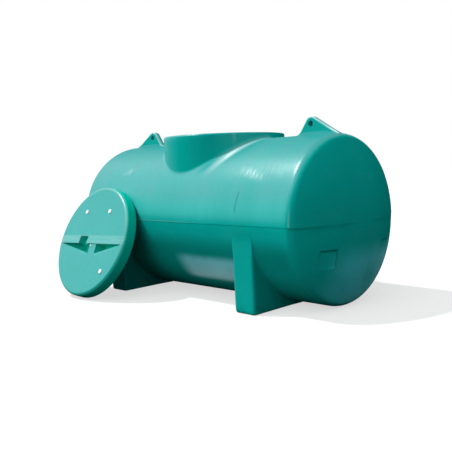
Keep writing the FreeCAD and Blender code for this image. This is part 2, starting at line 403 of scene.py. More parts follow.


# where the upper half has painted light, painted shade and wear, as limits on each measure, and how much
frontSide = (-0.20, -0.42)
barrelLength = (0.97, 0.92)
neckFillet = (0.452 ** 2, 0.010, 0.046)     # squares of distances from the neck's axis
barrelWear = {
    "slant": 0.22,                          # how fast the shoulder marks sink towards the ends
    "flowBend": (0.565, 0.9),               # height where the flow mark stands upright, and its bow
    # painted light on the front just above the parting line
    "flank": {"y": frontSide, "z": (0.512, 0.560, 0.580, 0.700), "length": barrelLength},
    "flankAmount": (0.48, 0.50),            # middle, and what the bands add
    # painted shade low on the right end of the upper half
    "end": {"x": (0.985, 1.020), "z": (0.80, 0.56), "amount": 0.12},
    # a real flow mark, bumped in, with painted shade along it
    "flow": {"y": frontSide, "z": (0.560, 0.590, 0.660, 0.715), "bowed": (0.570, 0.001, 0.008)},
    "flowAmount": 0.46,
    "flowDepth": 1.5,
    "mottle": {"x": (0.010, 0.070, 0.130), "y": frontSide, "z": (0.640, 0.020, 0.045), "amount": 0.10},
    "mottleAt": (0.50, 0.62),
    "strokesAt": (0.36, 0.68),
    # painted highlights in strokes: on both shoulders and a sheen band by the right one, with the least and
    # what strokes add
    "stroked": (
        ({"x": (0.645, 0.0, 0.130), "y": frontSide, "slanted": (0.930, 0.0, 0.038)}, 0.10, 0.56),
        ({"x": (-0.565, 0.0, 0.075), "y": frontSide, "slanted": (0.943, 0.0, 0.030)}, 0.07, 0.392),
        ({"x": (0.30, 0.60, 0.88, 0.95), "y": frontSide, "z": (0.792, 0.0, 0.060)}, 0.02, 0.10),
    ),
    # painted evenly: highlights on the knuckle's edge and the lip, a reflection on the neck's wall and
    # highlights in two spots on its fillet
    "even": (
        {"x": (0.966, 0.001, 0.008), "y": frontSide, "z": (0.502, 0.506, 0.510, 0.640), "amount": 0.17},
        {"x": (0.35, 0.0), "y": frontSide, "z": (0.5015, 0.503, 0.506, 0.511), "length": barrelLength,
         "amount": 0.09},
        {"x": (0.331, 0.0, 0.012), "y": (-0.17, -0.20), "z": (0.95, 1.02), "upright": (0.6, 0.3),
         "amount": 0.13},
        {"x": (0.350, 0.0, 0.130), "y": (0.001, -0.001), "fillet": neckFillet, "amount": 0.50},
        {"x": (0.350, 0.0, 0.036), "y": (0.001, -0.001), "fillet": neckFillet,
         "away": (0.458 ** 2, 0.0, 0.024), "amount": 0.50},
    ),
    "matt": {"x": (0.12, 0.22), "away": (0.46 ** 2, 0.43 ** 2)},    # no sheen on the neck's right
}


def barrelMarks(finish):
    # painted light on the front flank, painted shade on the right end and along a real flow mark over the
    # right foot, a mottled patch, and painted highlights
    wear, x, y, z = barrelWear, finish.x, finish.y, finish.z
    bendFrom, bow = wear["flowBend"]
    away = x * x + y * y
    finish.measures.update({
        "length": abs(x),
        "slanted": z + abs(x) * wear["slant"],
        "bowed": x - (z - bendFrom) * (z - bendFrom) * bow,
        "upright": abs(finish.measures["skyward"]),
        "away": away,
        "fillet": away,
    })
    finish.applyBloomAndSheen()
    # painted light on the front, painted shade on the right end and along the flow mark
    level, banded = wear["flankAmount"]
    finish.stain(finish.area(wear["flank"]) * (level + finish.bands * banded), "flank")
    finish.stain(finish.area(wear["end"]), "shadeAndGrime")
    flow = finish.area(wear["flow"])
    finish.stain(flow * wear["flowAmount"], "shadeAndGrime")
    finish.height = finish.height - flow * wear["flowDepth"]
    finish.stain(finish.area(wear["mottle"]) * finish.noise("mottle").between(*wear["mottleAt"]), "shadeAndGrime")
    # painted highlights, and a painted reflection on the neck's wall
    strokes = finish.noise("strokes").between(*wear["strokesAt"])
    for mark, least, more in wear["stroked"]:
        finish.addHighlightAndWear(finish.area(mark) * (least + strokes * more))
    for mark in wear["even"]:
        finish.addHighlightAndWear(finish.area(mark))
    finish.sheen = finish.sheen * (1 - finish.area(wear["matt"]))


shellPlastic = tealPlastic("shellPlastic", barrelMarks, scuffed=0.10, banded=0.7)

ripple = {
    "depth": 0.00045,      # how far the moulded wall wanders from a true round
    "long": 0.47,          # wavelengths along the barrel
    "short": 0.19,
    "shortShare": 0.35,
    "sway": (0.8, 2),      # how far the long ripple's crests swing, and how often in a turn
    "start": (1.3, 0.4),   # where the long ripple begins, along the barrel and round it
    "lobes": (3, 7),       # waves in a turn, of the long ripple and of the short
    "wind": (5, 2.1),      # how the short ripple winds round the barrel, and its lobes along it
}


def wave(x, angle):
    # the wall's slow wander, in metres: a long ripple with swaying crests and a share of a short one that
    # winds round the barrel, each a sine along it times a sine round it
    swing, swings = ripple["sway"]
    startAlong, startRound = ripple["start"]
    lobes, shortLobes = ripple["lobes"]
    wind, drift = ripple["wind"]
    first = np.sin(fullTurn * x / ripple["long"] + startAlong + swing * np.sin(swings * angle))
    first = first * np.sin(lobes * angle + startRound)
    second = np.sin(fullTurn * x / ripple["short"] + wind * angle) * np.sin(shortLobes * angle + drift * x)
    return ripple["depth"] * (first + ripple["shortShare"] * second)


def around(x, radius, angle):
    # a point at that radius from the tank's axis: 0 is the front, a quarter turn the top
    y = tank["axisY"] - radius * np.cos(angle)
    z = tank["axisZ"] + radius * np.sin(angle)
    return xyz(x, y, z)


shell = {
    "patchHalf": 0.50,     # the barrel's grid leaves a rectangle for the neck, this far each way along it
    "patchFrom": 20,       # and from this many degrees above the parting line, front and back
    "turnStep": 2,         # degrees between the grid's columns
    "barrelSteps": 17,
    "patchSteps": 41,
    "bendSteps": 15,
    "dishSteps": 13,
    "padRows": (0.432, 0.235),  # distance from the axis of the rows that bound the outlet recesses
    "lipArc": (0.0, 0.0005, 0.0013, 0.0024, 0.0042),
    "lipDrop": (-0.0014, -0.0008, -0.0003, -0.0001, 0.0),
    "seamOnEnds": 0.35,    # share of the parting step that the ends keep
    # distances from the axis over which the ends lose that step, the waves and the set-in
    "seamTurn": (0.44, 0.50),
    "seamApex": (0.08, 0.30),
    "calmApex": (0.02, 0.20),
    "calmBelow": (0.46, 0.50),
    "setInBelow": (0.0, 0.05),  # depth under the parting line over which the lower half sets in
}


def halfSection():
    # left crown, left knuckle, barrel, right knuckle, right crown, as x, radius and outward normal
    turn = np.arcsin(knuckleR / (tank["crown"] - tank["knuckle"]))
    bend = np.linspace(quarterTurn, turn, shell["bendSteps"])[1:]
    outer, inner = shell["padRows"]
    first = (tank["crown"] * np.sin(turn) + outer) / 2
    count = shell["dishSteps"]
    rows = np.concatenate([[first], np.linspace(outer, inner, count), np.linspace(inner, 0, count)[1:]])
    tilt = np.concatenate([bend, np.arcsin(rows / tank["crown"])])
    onDish = np.arange(tilt.size) >= bend.size
    centreX = np.where(onDish, dishX, tank["half"])
    centreR = np.where(onDish, 0.0, knuckleR)
    bow = np.where(onDish, tank["crown"], tank["knuckle"])
    end = np.stack([centreX + bow * np.cos(tilt), centreR + bow * np.sin(tilt), np.cos(tilt), np.sin(tilt)])
    patch = shell["patchHalf"]
    sides = np.linspace(patch, tank["half"], shell["barrelSteps"])
    along = np.concatenate([-sides[::-1], np.linspace(-patch, patch, shell["patchSteps"])[1:-1], sides])
    one = np.ones(along.size)
    barrel = np.stack([along, one * tank["radius"], one * 0, one])
    mirror = end[:, ::-1] * np.array([-1, 1, -1, 1])[:, None]
    return np.concatenate([mirror, barrel, end], axis=1)


section = halfSection()
sectionX, sectionR, normalX, normalR = section[:, :, None]


def skinPoints(angles, offset):
    # the half section turned round the axis through the angles, each point moved out by offset
    return around(sectionX + normalX * offset, sectionR + normalR * offset, angles)


def alongSeam():
    # how much of the parting step shows: all of it on the barrel, less on the ends, none at their apex
    least = shell["seamOnEnds"]
    return (least + (1 - least) * smooth(*shell["seamTurn"], sectionR)) * smooth(*shell["seamApex"], sectionR)


def wander(angles):
    # the wave, dying away towards the apex of the ends
    along = sectionX + np.sign(sectionX) * (tank["radius"] - sectionR)
    return wave(along, angles) * smooth(*shell["calmApex"], sectionR)


neck = {
    "bore": 0.382,
    "foot": 0.396,         # outer radius at the height of the tank's axis
    "rim": 0.406,
    "top": 1.039,
    "round": 0.012,
    "blend": 0.030,        # radius of the saddle-shaped fillet on the barrel
    "ease": 0.006,         # and how much further its ends lie
    "calm": (1.0, 0.4),    # share of the way to the fillet over which the waves die away
    "passes": 6,           # to find where wall and barrel meet
    "rows": {"skin": 12, "fillet": 12, "wall": 7, "rim": 6, "bore": 9, "inside": 7},
}


def neckRings(spot):
    # rings from the barrel's grid in to the neck, up its wall, over the rim, down the bore and out below:
    # at each heading the wall line and the barrel line meet, and a parabola rounds the corner between them
    edgeX, edgeAngle = spot[:, 0], spot[:, 1]
    outer, axis, top, bore, rows = tank["radius"], tank["axisZ"], neck["top"], neck["bore"], neck["rows"]
    heading = np.arctan2(-outer * np.cos(edgeAngle), edgeX)
    c, s = np.cos(heading), np.sin(heading)

    def rise(radius, skin):
        return axis + np.sqrt(skin ** 2 - (radius * s) ** 2)

    def angleAt(radius, skin):
        return np.arccos(np.clip(-radius * s / skin, -1, 1))

    def stand(radius, z):
        return xyz(radius * c, tank["axisY"] + radius * s, z)

    flare = (neck["rim"] - neck["foot"]) / (top - axis)
    meet = np.full(heading.size, neck["foot"])
    for _ in range(neck["passes"]):
        meetZ = rise(meet, outer)
        meet = neck["foot"] + flare * (meetZ - axis)
    fall = -meet * s ** 2 / (meetZ - axis)
    out = np.stack([np.ones_like(fall), fall]) / np.hypot(1, fall)
    up = np.array([[flare], [1.0]]) / np.hypot(flare, 1)
    between = np.arccos(np.clip((out * up).sum(axis=0), -1, 1))
    setback = neck["blend"] / np.tan(between / 2) + neck["ease"]
    corner = np.stack([meet, meetZ])
    wallEnd = corner + up * setback
    outR = meet + out[0] * setback
    skinEnd = np.stack([outR, rise(outR, outer)])

    t = np.linspace(0, 1, rows["skin"])[:, None]
    outX = edgeX + (outR * c - edgeX) * t
    outAngle = edgeAngle + (angleAt(outR, outer) - edgeAngle) * t
    rings = [around(outX, outer + wave(outX, outAngle) * smooth(*neck["calm"], t), outAngle)]
    t = ramp(rows["fillet"])
    curve = [(1 - t) ** 2 * skinEnd[k] + 2 * t * (1 - t) * corner[k] + t ** 2 * wallEnd[k] for k in (0, 1)]
    rings.append(stand(*curve))
    e = neck["round"]
    shoulder = neck["rim"] - flare * e
    t = ramp(rows["wall"])
    rings.append(stand(wallEnd[0] + (shoulder - wallEnd[0]) * t, wallEnd[1] + (top - e - wallEnd[1]) * t))
    a = quarterTurn * ramp(rows["rim"])
    b = a - a[0]
    rings.append(stand(shoulder - e + e * np.cos(a), top - e + e * np.sin(a)))
    rings.append(stand(bore + e - e * np.sin(b), top - e + e * np.cos(b)))
    inner = outer - tank["wall"]
    rings.append(stand(bore, top - e + (rise(bore, inner) - top + e) * ramp(rows["bore"])))
    t = ramp(rows["inside"])
    inAngle = angleAt(bore, inner) * (1 - t) + edgeAngle * t
    rings.append(around(bore * c * (1 - t) + edgeX * t, inner, inAngle))
    return np.concatenate(rings)


def buildUpperShell():
    # the half section over the top, doubled by an inner wall, with the neck let into its grid
    plain = np.radians(np.arange(shell["turnStep"], 180, shell["turnStep"]))
    lip = np.array(shell["lipArc"]) / tank["radius"]
    angles = np.concatenate([lip, plain, np.pi - lip[::-1]])[None, :]
    drop = np.concatenate([shell["lipDrop"], np.zeros(plain.size), shell["lipDrop"][::-1]])[None, :]
    outer = skinPoints(angles, drop * alongSeam() + wander(angles))
    inner = skinPoints(angles, np.full(angles.shape, -tank["wall"]))
    edges = [np.argmin(abs(section[0] - side * shell["patchHalf"])) for side in (-1, 1)]
    limits = np.radians([shell["patchFrom"], 180 - shell["patchFrom"]])
    sides = [np.argmin(abs(angles[0] - limit)) for limit in limits]
    skin = Skin()
    keep = holeMask(outer.shape, edges, sides)
    skin.grid(outer, keep=keep)
    skin.grid(inner, keep=keep)
    skin.grid(np.stack([outer[:, 0], inner[:, 0]]))
    skin.grid(np.stack([outer[:, -1], inner[:, -1]]))
    spots = np.stack(np.broadcast_arrays(sectionX, angles), axis=-1)
    skin.grid(neckRings(perimeter(spots, edges, sides)), closed=True)
    nodes = ["upper_shell_left", "upper_shell_right", "left_end_upper", "right_end_upper"]
    skin.piece("upperShell", shellPlastic, nodes + ["neck_collar_left", "neck_collar_right"])


buildUpperShell()

outlet = {
    "halfWidth": 0.058,
    "halfHeight": 0.050,
    "spread": 0.275,
    "drop": 0.187,
    "angles": (18, 52),    # degrees below the parting line that the grid leaves for each recess
    # how far outside the recess's outline each ring runs, and how deep it lies
    "rings": ((0.0070, 0.0), (0.0028, 0.0002), (0.0010, 0.0008), (-0.0004, 0.0018), (-0.0020, 0.0050),
              (-0.0034, 0.0063), (-0.0062, 0.0070), (-0.0180, 0.0070), (-0.0340, 0.0070)),
    "cornerPull": 0.0035,
    "tip": (0.62, 0.42, 0.22),  # share of the depth at the middle, and what it gains upwards and to the axis
    "tipLimits": (0.06, 1.2),
    "leadIn": 4,           # steps from the grid to the first ring
}

bellyWear = {
    # a darker band half way down
    "darkBand": {"z": (0.34, 0.02, 0.12), "length": (0.96, 0.90), "amount": 0.22},
    # a painted reflection of the ground between the feet, with more gloss
    "gloss": {"x": (-0.06, 0.10, 0.47, 0.55), "y": (0.0, -0.20), "z": (0.12, 0.17, 0.26, 0.32)},
    "glossAt": (0.10, 0.50),
    "glossReflection": 0.95,
    # a painted reflection of the sky low on the right end
    "below": {"x": (0.97, 1.00), "y": (-0.36, -0.10), "z": (0.40, 0.24)},
    "belowAt": (0.20, 0.55),
    "belowReflection": 0.75,
    "belowSheen": 0.12,
    # painted shadow under the lip in the corner by the knuckle
    "corner": {"x": (0.950, 0.972), "y": (-0.18, -0.42), "z": (0.482, 0.494), "amount": 0.34},
    "recess": {"x": (0.97, 1.00)},
    "recessSoft": 0.004,
    "recessEdge": (0.002, 0.006),
    # painted shadow on a recess's roof and near edge, painted light on its far edge
    "recessShadow": 0.50,
    "recessLight": 0.12,
}


def recessMarks(finish, side):
    # painted shadow along the roof of a recess and the edge nearer the axis, and painted light on the edge
    # across from it
    wear, wide, tall = bellyWear, outlet["halfWidth"], outlet["halfHeight"]
    outY = finish.y - side * outlet["spread"]
    outZ = finish.z - (tank["axisZ"] - outlet["drop"])
    onEnd = finish.area(wear["recess"])
    acrossIt = abs(outY).between(wide + wear["recessSoft"], wide - wear["recessSoft"])
    upIt = abs(outZ).between(tall + wear["recessSoft"], tall - wear["recessSoft"])
    roof = outZ.within((tall, *wear["recessEdge"])) * acrossIt
    near, far = (outY.within((edge * wide, *wear["recessEdge"])) * upIt for edge in (-side, side))
    # painted shadow, and painted light on the far edge
    dark = roof.larger(near) * onEnd
    finish.stain(dark * wear["recessShadow"], "shadeAndGrime")
    finish.stain(far * (1 - dark) * onEnd * wear["recessLight"], "flank")


def bellyMarks(finish):
    # a darker band half way down, and painted shadow in the corner under the lip by the knuckle; low down,
    # painted reflections of ground and sky with more gloss
    wear = bellyWear
    finish.measures["length"] = abs(finish.x)
    finish.applyBloomAndSheen()
    finish.stain(finish.area(wear["darkBand"]), "shadeAndGrime")
    # painted reflections in a bluer teal, and more gloss where they lie
    gloss = finish.area(wear["gloss"]) * finish.noise("glossy").between(*wear["glossAt"])
    below = finish.area(wear["below"]) * finish.noise("below").between(*wear["belowAt"])
    finish.stain(gloss * wear["glossReflection"] + below * wear["belowReflection"], "skyReflection")
    # painted shadow under the lip by the knuckle
    finish.stain(finish.area(wear["corner"]), "shadeAndGrime")
    finish.sheen = finish.sheen.larger(gloss.larger(below * wear["belowSheen"]))
    for side in (-1, 1):
        recessMarks(finish, side)


bellyPlastic = tealPlastic("bellyPlastic", bellyMarks, depth=0.94, scuffed=0.16, bloomAndSheenShare=0.5)


def outletRings(edge, front, counts):
    # rings from the grid to the recess's outline, over its edge, down its wall and over the floor to a ridge
    side = -1 if front else 1
    across = np.array([1, 1, -1, -1]) * side
    down = np.array([-1, 1, 1, -1]) * -side
    corners = np.stack([across, down], axis=-1)
    runs = [np.linspace(0, 1, n, endpoint=False)[:, None] for n in counts]
    outline = np.concatenate([corners[k] * (1 - t) + corners[(k + 1) % 4] * t for k, t in enumerate(runs)])
    atCorner = np.isclose(abs(outline), 1).all(axis=1)[:, None]
    half = np.array([outlet["halfWidth"], outlet["halfHeight"]])
    centre = np.array([tank["axisY"] + side * outlet["spread"], tank["axisZ"] - outlet["drop"]])
    bow = tank["crown"] - tank["step"]

    def onDish(spot, depth):
        # the floor is tipped against the dish, so the recess runs out at its lower outer corner
        local = (spot - centre) / half
        middle, upward, inward = outlet["tip"]
        share = np.clip(middle + upward * local[:, 1] - inward * side * local[:, 0], *outlet["tipLimits"])
        reach2 = (spot[:, 0] - tank["axisY"]) ** 2 + (spot[:, 1] - tank["axisZ"]) ** 2
        return np.column_stack([dishX + np.sqrt(bow ** 2 - reach2) - depth * share, spot])

    def ring(grow, depth):
        return onDish(centre + outline * (half + grow - atCorner * outlet["cornerPull"]), depth)

    first = ring(*outlet["rings"][0])
    floorDepth = outlet["rings"][-1][1]
    rings = [edge]
    rings += [onDish(edge[:, 1:] * (1 - t) + first[:, 1:] * t, 0.0) for t in ramp(outlet["leadIn"])[:-1]]
    rings += [ring(grow, depth) for grow, depth in outlet["rings"]]
    rings.append(onDish(centre + outline * (half - half.min()), floorDepth))
    return np.stack(rings)


def buildLowerShell():
    # the half section under the axis, set in by the parting step, with two outlet recesses in the right end
    step = shell["turnStep"]
    angles = np.radians(np.arange(180, 360 + step, step))[None, :]
    depth = abs(lowerRadius * np.sin(angles))
    seam = tank["seam"] * alongSeam()
    fullStep = tank["step"] * smooth(*shell["calmApex"], sectionR)
    setIn = seam + (fullStep - seam) * smooth(*shell["setInBelow"], depth)
    outer = skinPoints(angles, wander(angles) * smooth(*shell["calmBelow"], sectionR) - setIn)
    inner = skinPoints(angles, np.full(angles.shape, -tank["wall"] - tank["step"]))
    onRight = section[0] > tank["half"]
    rows = [np.argmin(np.where(onRight, abs(section[1] - r), np.inf)) for r in shell["padRows"]]
    near, far = outlet["angles"]
    backCols = [near // step, far // step]
    frontCols = [(180 - far) // step, (180 - near) // step]
    skin = Skin()
    keep = holeMask(outer.shape, rows, backCols) & holeMask(outer.shape, rows, frontCols)
    skin.grid(outer, keep=keep)
    skin.grid(inner)
    skin.grid(np.stack([outer[:, 0], inner[:, 0]]))
    skin.grid(np.stack([outer[:, -1], inner[:, -1]]))
    long, short = backCols[1] - backCols[0], rows[1] - rows[0]
    for cols, front in ((backCols, False), (frontCols, True)):
        edge = perimeter(outer, rows, cols)
        skin.grid(outletRings(edge, front, (long, short, long, short)), closed=True)
    nodes = ["lower_shell_left", "lower_shell_right", "left_end_lower", "right_end_lower"]
    skin.piece("lowerShell", bellyPlastic, nodes)


buildLowerShell()

ledge = {
    "hole": 0.346,
    "outer": 0.3825,
    "low": 0.991,
    "high": 1.003,
    "round": 0.003,
    "roundSteps": 6,
    "turnSteps": 180,
}


def buildLedge():
    # a rectangle with two rounded corners, turned round the neck's axis
    hole, outer, low, high, e = (ledge[key] for key in ("hole", "outer", "low", "high", "round"))
    a = np.linspace(0, quarterTurn, ledge["roundSteps"])
    r = np.concatenate([[outer], hole + e - e * np.sin(a), hole + e - e * np.cos(a), [outer]])
    z = np.concatenate([[high], high - e + e * np.cos(a), low + e - e * np.sin(a), [low]])
    turn = np.linspace(0, fullTurn, ledge["turnSteps"], endpoint=False)[:, None]
    ring = xyz(r * np.cos(turn), tank["axisY"] + r * np.sin(turn), z)
    skin = Skin()
    skin.grid(np.concatenate([ring, ring[:1]]), closed=True)
    skin.piece("lidLedge", shellPlastic, ["lid_ledge"])


buildLedge()

lug = {
    "eyeX": 0.761,
    "eyeRise": 0.065,
    "eyeRadius": 0.042,
    "holeRadius": 0.018,
    "holeRound": 0.0012,
    "halfThick": 0.023,
    "heel": 0.098,
    "heelFillet": 0.040,
    "tail": (0.222, -0.019),
    "edge": 0.010,
    "flare": 0.020,
    "sink": 0.006,
    "heelSteps": 11,
    "lineSteps": 8,
    "eyeSteps": 31,
    "tailSteps": 24,
    "faceSteps": 21,
    "roundSteps": 7,
    "holeSteps": 6,
    "throughSteps": 3,
    "fitSteps": 4,         # from the face's grid to the circle of the eye
    "window": (4, 18),     # the face's grid leaves a rectangle for the eye between these steps
    "windowHalf": 0.029,   # and this far each way from it
}

finWear = {
    # painted highlight along the lug's front edge, stronger on the tail
    "edge": {"y": (0.006, -0.006), "z": (0.988, 0.998), "sideways": (-0.38, 0.34, 0.56),
             "aside": (0.0250, 0.0225), "fromEye": (0.020 ** 2, 0.025 ** 2)},
    "edgeAmount": 0.42,
    "tail": {"out": (0.10, 0.16, 0.19, 0.22)},
    "tailAmount": 0.40,    # what the edge of the tail adds
    # painted shade on the flared root
    "flare": {"aside": (0.0225, 0.0250)},
    "flareAmount": 0.8,
    "sheen": 0.6,
}


def finMarks(finish):
    # the front edge of a lug gets a painted highlight, and its flared root is darkened as painted shade, like
    # the shell beside it
    wear = finWear
    out, up = abs(finish.x) - lug["eyeX"], finish.z - (crownZ + lug["eyeRise"])
    finish.measures.update({"out": out, "fromEye": out * out + up * up, "aside": abs(finish.y)})
    finish.applyBloomAndSheen()
    edge, tail, flare = (finish.area(wear[key]) for key in ("edge", "tail", "flare"))
    # painted shade on the flared root, painted highlight on the front edge
    finish.stain(flare * wear["flareAmount"], "shadedChalk")
    finish.addHighlightAndWear(edge * (wear["edgeAmount"] + tail * wear["tailAmount"]))
    finish.sheen = (finish.sheen * (1 - flare) * wear["sheen"]).larger(edge)


lugPlastic = tealPlastic("lugPlastic", finMarks, scuffed=0.10, blur=0.48)


def lugOutline():
    # heel sweep, heel line, eye and tail line, as points and the normals into the fin;
    # x is measured from the eye and z from the crown
    eye = np.array([0.0, lug["eyeRise"]])
    heel, tail = np.array([-lug["heel"], 0.0]), np.array(lug["tail"])

    def touch(point, side):
        span = point - eye
        return np.arctan2(span[1], span[0]) - side * np.arccos(lug["eyeRadius"] / np.hypot(*span))

    b = np.linspace(touch(heel, 1) % fullTurn, touch(tail, -1), lug["eyeSteps"])
    top = eye + lug["eyeRadius"] * np.stack([np.cos(b), np.sin(b)], axis=-1)
    lean = np.arctan2(top[0, 1] - heel[1], top[0, 0] - heel[0])
    a = np.linspace(0, lean, lug["heelSteps"])
    sweep = heel + lug["heelFillet"] * np.stack([np.sin(a) - np.tan(lean / 2), 1 - np.cos(a)], axis=-1)
    t, u = ramp(lug["lineSteps"])[:-1], ramp(lug["tailSteps"])
    points = np.concatenate([sweep, sweep[-1] * (1 - t) + top[0] * t, top, top[-1] * (1 - u) + tail * u])
    way = np.gradient(points, axis=0)
    way /= np.hypot(way[:, 0], way[:, 1])[:, None]
    return points, np.stack([way[:, 1], -way[:, 0]], axis=-1)


def crownFall(x, y):
    # height of the tank's surface under the lug, from the crown line; x from the eye
    over = np.clip(x + lug["eyeX"] - tank["half"], 0, tank["knuckle"])
    knuckle = np.sqrt(tank["knuckle"] ** 2 - over ** 2) - tank["knuckle"]
    return knuckle + np.sqrt(tank["radius"] ** 2 - y ** 2) - tank["radius"]


def lugFace(points, inward):
    # a column at each point of the outline: out of the barrel by a flare, up the face and over to the edge;
    # also the step at which the plain face begins
    half = lug["halfThick"]
    tall = np.clip(points[:, 1] - crownFall(points[:, 0], 0.0), 0, None)[:, None]
    edge = np.minimum(lug["edge"], tall * roundShare)
    flare = np.minimum(lug["flare"], tall * roundShare)
    a = np.linspace(0, quarterTurn, lug["roundSteps"])[None, :]
    rim = points[:, None, :] + inward[:, None, :] * (edge * (1 - np.sin(a)))[:, :, None]
    rimX, rimY, rimZ = rim[:, :, 0], -(half - edge) - edge * np.cos(a), rim[:, :, 1]
    footX = np.broadcast_to(rimX[:, :1], (len(points), a.size))
    footY = -(half + flare) + flare * np.sin(a)
    footZ = crownFall(footX, -(half + flare)) + flare * (1 - np.cos(a))
    t = ramp(lug["faceSteps"])[:-1].T
    faceX = footX[:, -1:] * (1 - t) + rimX[:, :1] * t
    faceZ = footZ[:, -1:] * (1 - t) + rimZ[:, :1] * t
    x = np.concatenate([footX[:, :1], footX, faceX, rimX], axis=1)
    y = np.concatenate([footY[:, :1], footY, np.full(faceX.shape, -half), rimY], axis=1)
    z = np.concatenate([footZ[:, :1] - lug["sink"], footZ, faceZ, rimZ], axis=1)
    plainFrom = 1 + a.size
    return xyz(x, y, np.maximum(z, crownFall(x, y) - lug["sink"])), plainFrom


def lugEye(window):
    # from the face's grid to a circle, over its rounded edge and through to the middle of the fin
    half, hole, e = lug["halfThick"], lug["holeRadius"], lug["holeRound"]
    turn = np.arctan2(window[:, 2] - lug["eyeRise"], window[:, 0])
    b = np.linspace(0, quarterTurn, lug["holeSteps"])[:, None]
    through = ramp(lug["throughSteps"])
    radius = np.concatenate([hole + e - e * np.sin(b), np.full(through.shape, hole)])
    depth = np.concatenate([-half + e - e * np.cos(b), (e - half) * (1 - through)])
    circle = xyz(radius * np.cos(turn), depth, lug["eyeRise"] + radius * np.sin(turn))
    s = np.linspace(0, 1, lug["fitSteps"], endpoint=False)[:, None, None]
    return np.concatenate([window * (1 - s) + circle[0] * s, circle])


def buildLug(name, side, node):
    # the front face with its eye, mirrored to the back, and strips that close its edge, root and tips
    points, inward = lugOutline()
    front, plainFrom = lugFace(points, inward)
    toBack = np.array([1, -1, 1])
    back = front[:, ::-1] * toBack
    cols = [plainFrom + k for k in lug["window"]]
    backCols = [front.shape[1] - 1 - k for k in cols[::-1]]
    aboveEye = points[:, 1] >= lug["eyeRise"]
    reach = lug["windowHalf"]
    rows = [np.argmin(np.where(aboveEye, abs(points[:, 0] - x), np.inf)) for x in (-reach, reach)]
    placed = np.array([side * lug["eyeX"], tank["axisY"], crownZ])
    flip = np.array([side, 1, 1])
    skin = Skin()
    skin.grid(front * flip + placed, keep=holeMask(front.shape, rows, cols))
    skin.grid(back * flip + placed, keep=holeMask(back.shape, rows, backCols))
    strips = [(front[:, -1], back[:, 0]), (front[:, 0], back[:, -1])]
    strips += [(front[row], back[row, ::-1]) for row in (0, -1)]
    for strip in strips:
        skin.grid(np.stack(strip) * flip + placed)
    eye = lugEye(perimeter(front, rows, cols))
    skin.grid(eye * flip + placed, closed=True)
    skin.grid(eye * toBack * flip + placed, closed=True)
    skin.piece(name, lugPlastic, [node])


buildLug("leftLug", -1, "left_lifting_lug")
buildLug("rightLug", 1, "right_lifting_lug")

foot = {
    "midX": 0.616,
    "halfLength": 0.078,
    "front": 0.492,
    "gap": 0.070,
    "edge": 0.013,
    "flare": 0.010,
    "sink": 0.004,
    "squareness": 70,      # the higher, the sharper the corner between the face and the base
    "begin": 2.6,          # degrees below the parting line
    "blend": 0.0015,       # how softly its face leaves the barrel
    "rows": 70,
    "roundSteps": 8,
    "wallSteps": 5,
    "flatSteps": 7,
    "cornerRows": 41,
    "cornerSpan": 2.5,     # degrees each way from the corner where the rows lie closer
}
footPlastic = tealPlastic("footPlastic", depth=0.86, scuffed=0.35, bloomAndSheenShare=0.5)


def buildFoot(name, sideX, sideY, node):
    # a U-shaped section carried round the barrel's axis, which reaches out to the flat face or the ground
    face, ground, w, p = foot["front"], tank["axisZ"], foot["halfLength"], foot["squareness"]
    corner = np.arctan2(ground, face)
    begin = np.radians(foot["begin"])
    end = np.arctan2(np.sqrt(lowerRadius ** 2 - foot["gap"] ** 2), foot["gap"])
    close = np.radians(np.linspace(-foot["cornerSpan"], foot["cornerSpan"], foot["cornerRows"]))
    spread = np.concatenate([np.linspace(begin, end, foot["rows"]), corner + close])
    angle = np.unique(np.round(spread, 6))[:, None]
    reach = ((np.cos(angle) / face) ** p + (np.sin(angle) / ground) ** p) ** (-1 / p)
    reach = foot["blend"] * np.logaddexp(reach / foot["blend"], lowerRadius / foot["blend"])
    deep = np.clip(reach - lowerRadius, 0, None)
    lean = np.where(angle < corner, np.cos(angle), np.sin(angle))
    flare = np.minimum(foot["flare"], deep * roundShare)
    edge = np.minimum(foot["edge"] / lean, deep * roundShare)
    low = np.minimum(lowerRadius, reach)
    sunk = lowerRadius - foot["sink"]
    a = np.linspace(0, quarterTurn, foot["roundSteps"])[None, :]
    t = ramp(foot["wallSteps"])[:-1].T
    wallR = low + flare + (reach - edge - low - flare) * t
    rootX, edgeX = -(w + flare), -w + edge - edge * np.cos(a)
    x = [rootX, rootX + flare * np.sin(a), np.full(wallR.shape, -w), edgeX]
    r = [np.full(angle.shape, sunk), low + flare * (1 - np.cos(a)), wallR, reach - edge + edge * np.sin(a)]
    halfX, halfR = np.concatenate(x, axis=1), np.concatenate(r, axis=1)
    flat = ramp(foot["flatSteps"])[:-1].T * 2 - 1
    wholeX = np.concatenate([halfX, flat * (w - edge), -halfX[:, ::-1]], axis=1)
    wholeR = np.concatenate([halfR, np.broadcast_to(reach, (angle.size, flat.size)), halfR[:, ::-1]], axis=1)
    # the first and last rows again, drawn down under the barrel's skin to close the ends
    wholeX = wholeX[[0, *range(angle.size), -1]]
    wholeR = np.concatenate([np.full(wholeR[:1].shape, sunk), wholeR, np.full(wholeR[:1].shape, sunk)])
    angle = angle[[0, *range(angle.size), -1]]
    y, z = tank["axisY"] + sideY * wholeR * np.cos(angle), ground - wholeR * np.sin(angle)
    skin = Skin()
    skin.grid(xyz(sideX * foot["midX"] + wholeX, y, z), closed=True)
    skin.piece(name, footPlastic, [node])


for sideX, nameX in ((-1, "left"), (1, "right")):
    for sideY, nameY in ((-1, "front"), (1, "back")):
        buildFoot(f"{nameX}{nameY.capitalize()}Foot", sideX, sideY, f"{nameX}_{nameY}_foot")

